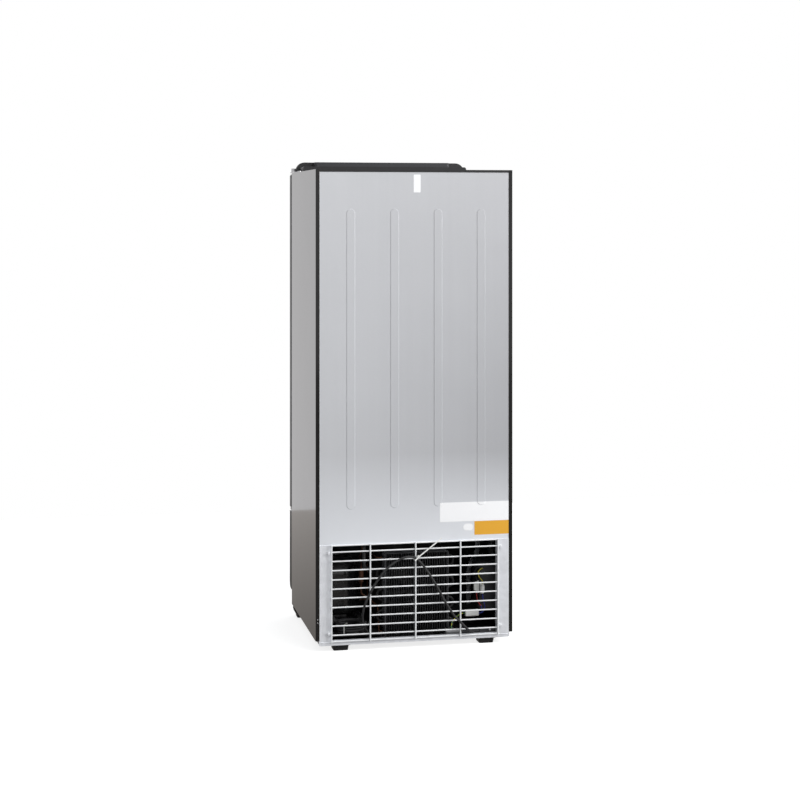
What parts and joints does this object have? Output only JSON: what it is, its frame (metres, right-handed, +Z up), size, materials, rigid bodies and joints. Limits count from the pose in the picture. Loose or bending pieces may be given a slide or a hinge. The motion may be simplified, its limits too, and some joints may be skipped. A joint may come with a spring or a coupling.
{
  "type": "glass door display fridge",
  "caption": "Tall black cabinet fridge with a hinged double-glazed door, wire shelves, a low crown and a machine compartment behind a white wire guard with a coiled lead.",
  "frame": {"origin": "middle of the overall outline on the floor under the feet", "axes": "+X to the right seen from the front, -Y towards the front and the door, +Z up"},
  "size_m": [0.595, 0.601, 1.448],
  "materials": {
    "black_steel": "gloss",
    "back_sheet": "satin",
    "galvanised": "satin",
    "liner_white": "satin",
    "foam": "matte",
    "black_plastic": "satin",
    "dark_grey_plastic": "satin",
    "pane_glass": "clear",
    "spacer_metal": "satin",
    "black_rubber": "matte",
    "steel": "satin",
    "nylon": "satin",
    "coated_wire": "satin",
    "fin_metal": "satin",
    "cover_grey": "satin",
    "motor_metal": "satin",
    "black_enamel": "gloss",
    "copper": "satin",
    "blade_metal": "satin",
    "light_lens": "gloss",
    "lead_black": "satin",
    "blue_wire": "satin",
    "green_wire": "satin"
  },
  "bodies": {
    "cabinet": {"left_side_panel": "black_steel", "right_side_panel": "black_steel", "top_panel": "black_steel", "back_panel": "back_sheet", "inner_liner": "liner_white", "insulation_foam": "foam", "front_collar": "black_plastic", "compartment_frame": "galvanised", "rear_sill": "galvanised", "base_tray": "black_steel", "compressor_platform": "black_steel", "feet": "black_plastic", "kick_panel": "black_plastic", "crown_fascia": "black_plastic", "crown_housing": "dark_grey_plastic", "top_hinge_bracket": "steel", "bottom_hinge_bracket": "steel", "hinge_pins": "steel", "shelf_standards": "coated_wire", "shelf_clips": "nylon", "shelf_1": "coated_wire", "shelf_2": "coated_wire", "shelf_3": "coated_wire", "light_strip": "light_lens", "evaporator_coil": "fin_metal", "evaporator_cover": "cover_grey", "evaporator_fan_motor": "motor_metal", "drain_tube": "cover_grey", "condensate_pan": "dark_grey_plastic", "compressor": "black_enamel", "compressor_grommets": "black_rubber", "compressor_terminal_cover": "black_plastic", "suction_line": "black_rubber", "discharge_line": "copper", "filter_drier": "copper", "condenser_fins": "black_enamel", "condenser_tube": "black_enamel", "fan_shroud": "galvanised", "condenser_fan_motor": "motor_metal", "control_box": "dark_grey_plastic", "terminal_strip": "spacer_metal", "wire_connectors": "nylon", "control_wires": "blue_wire", "earth_wire": "green_wire", "rear_grille": "coated_wire", "grille_screws": "steel", "lead_clamp": "dark_grey_plastic", "mains_lead": "lead_black", "lead_coil": "lead_black", "mains_plug": "lead_black", "cable_ties": "nylon"},
    "door": {"door_frame": "black_plastic", "outer_glass": "pane_glass", "inner_glass": "pane_glass", "glass_spacer": "spacer_metal", "door_gasket": "black_rubber", "door_handle": "black_plastic", "hinge_bushes": "nylon"},
    "condenser_fan": {"condenser_fan_blade": "blade_metal"},
    "evaporator_fan": {"evaporator_fan_blade": "blade_metal"}
  },
  "joints": [
    {"name": "door_hinge", "type": "hinge", "parent": "cabinet", "child": "door", "pos_m": [0.2875, -0.24075, 0.8], "axis": [0, 0, 1], "range_deg": [0, 110]},
    {"name": "condenser_fan_spin", "type": "hinge", "parent": "cabinet", "child": "condenser_fan", "pos_m": [-0.015, 0.15, 0.1458], "axis": [0, 1, 0], "continuous": true},
    {"name": "evaporator_fan_spin", "type": "hinge", "parent": "cabinet", "child": "evaporator_fan", "pos_m": [0, -0.05875, 1.29], "axis": [0, 0, 1], "continuous": true}
  ]
}
